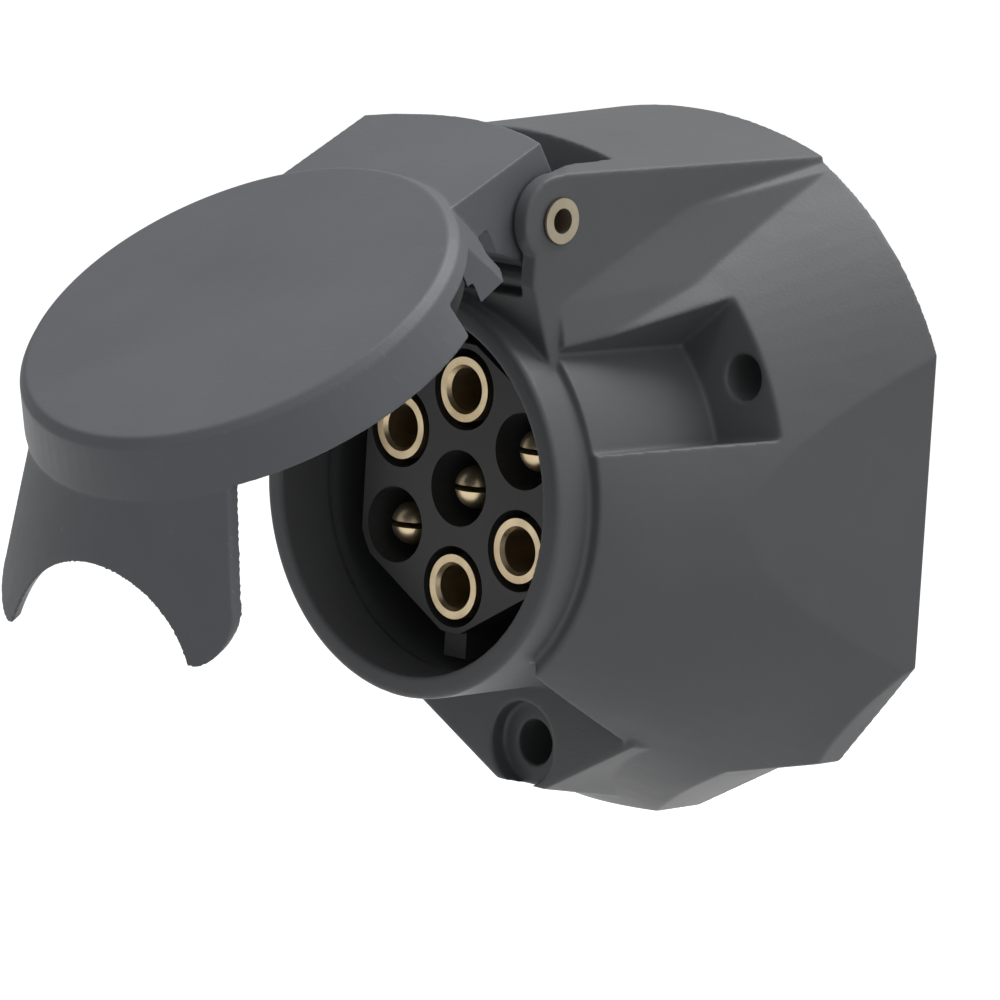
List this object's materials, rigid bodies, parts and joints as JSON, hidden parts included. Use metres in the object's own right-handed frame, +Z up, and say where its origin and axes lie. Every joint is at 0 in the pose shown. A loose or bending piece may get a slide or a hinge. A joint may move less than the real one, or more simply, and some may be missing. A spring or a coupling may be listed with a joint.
{
  "type": "trailer wiring socket",
  "caption": "Round multi-pole trailer wiring socket: tapered moulded housing, tube and split pin contacts, and a sprung hinged lid with a locking skirt.",
  "frame": {"origin": "point where the socket axis meets the rear mounting plane, which is also the centre of the fixing holes", "axes": "+Z up towards the hinge; -Y out of the mouth towards the plug; +Y backwards into the bracket; +X to the viewer's right when looking into the mouth"},
  "size_m": [0.082, 0.0981, 0.0855],
  "materials": {
    "housing_plastic": "fine moulded grain",
    "lid_plastic": "fine moulded grain",
    "carrier_plastic": "moulded",
    "rubber": "dull",
    "contact_brass": "turned, slightly tarnished",
    "hinge_brass": "turned",
    "spring_steel": "drawn wire",
    "screw_steel": "plated"
  },
  "bodies": {
    "socket": {"housing": "housing_plastic", "flange_gasket": "rubber", "contact_carrier": "carrier_plastic", "carrier_seal": "rubber", "carrier_screws": "screw_steel", "tube_contact_12": "contact_brass", "tube_contact_10": "contact_brass", "tube_contact_6": "contact_brass", "tube_contact_4": "contact_brass", "pin_contact_2": "contact_brass", "pin_contact_8": "contact_brass", "pin_contact_centre": "contact_brass", "terminal_screws": "screw_steel", "rear_cover": "carrier_plastic", "cover_screws": "screw_steel", "cable_grommet": "rubber", "hinge_pin": "hinge_brass", "hinge_spring": "spring_steel"},
    "lid": {"lid": "lid_plastic", "lid_seal": "rubber"}
  },
  "joints": [
    {"name": "lid_hinge", "type": "hinge", "parent": "socket", "child": "lid", "pos_m": [0, -0.0414, 0.0344], "axis": [-1, 0, 0], "range_deg": [-57, 50], "deforming": ["hinge_spring"]}
  ]
}
